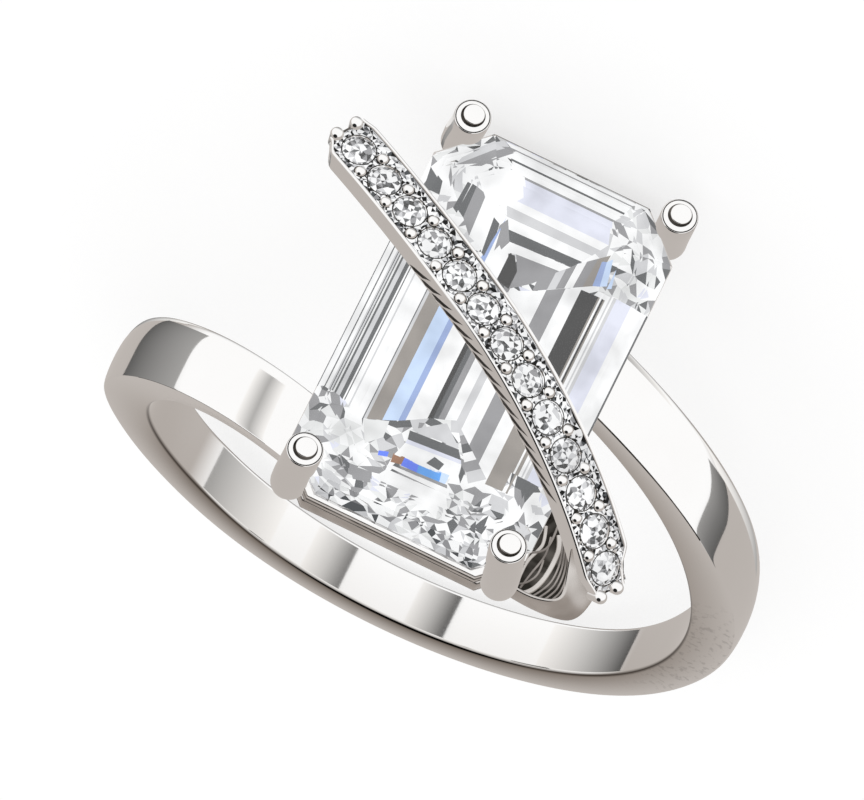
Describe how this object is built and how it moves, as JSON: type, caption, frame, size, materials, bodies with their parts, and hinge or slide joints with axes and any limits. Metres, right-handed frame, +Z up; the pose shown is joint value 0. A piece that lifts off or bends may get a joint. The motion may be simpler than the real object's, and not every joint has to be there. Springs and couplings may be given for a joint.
{
  "type": "engagement ring",
  "caption": "Ladies' ring: a plain polished band, an emerald-cut stone in round prongs and an arched pave bar across it.",
  "frame": {"origin": "under the middle of the ring's bounding box, on the surface the ring rests on", "axes": "+Z up, +Y from the stone towards the bottom of the band, +X to the wearer's left of the stone; the finger's axis leans 16.1 degrees from +Z towards +Y"},
  "size_m": [0.0202, 0.0238, 0.0131],
  "materials": {
    "white_gold": "polished",
    "centre_stone": "polished",
    "pave_stone": "polished"
  },
  "bodies": {
    "root": {"ring_mount": "white_gold", "centre_stone": "centre_stone", "pave_stone_01": "pave_stone", "pave_stone_02": "pave_stone", "pave_stone_03": "pave_stone", "pave_stone_04": "pave_stone", "pave_stone_05": "pave_stone", "pave_stone_06": "pave_stone", "pave_stone_07": "pave_stone", "pave_stone_08": "pave_stone", "pave_stone_09": "pave_stone", "pave_stone_10": "pave_stone", "pave_stone_11": "pave_stone", "pave_stone_12": "pave_stone", "pave_stone_13": "pave_stone"}
  },
  "joints": []
}
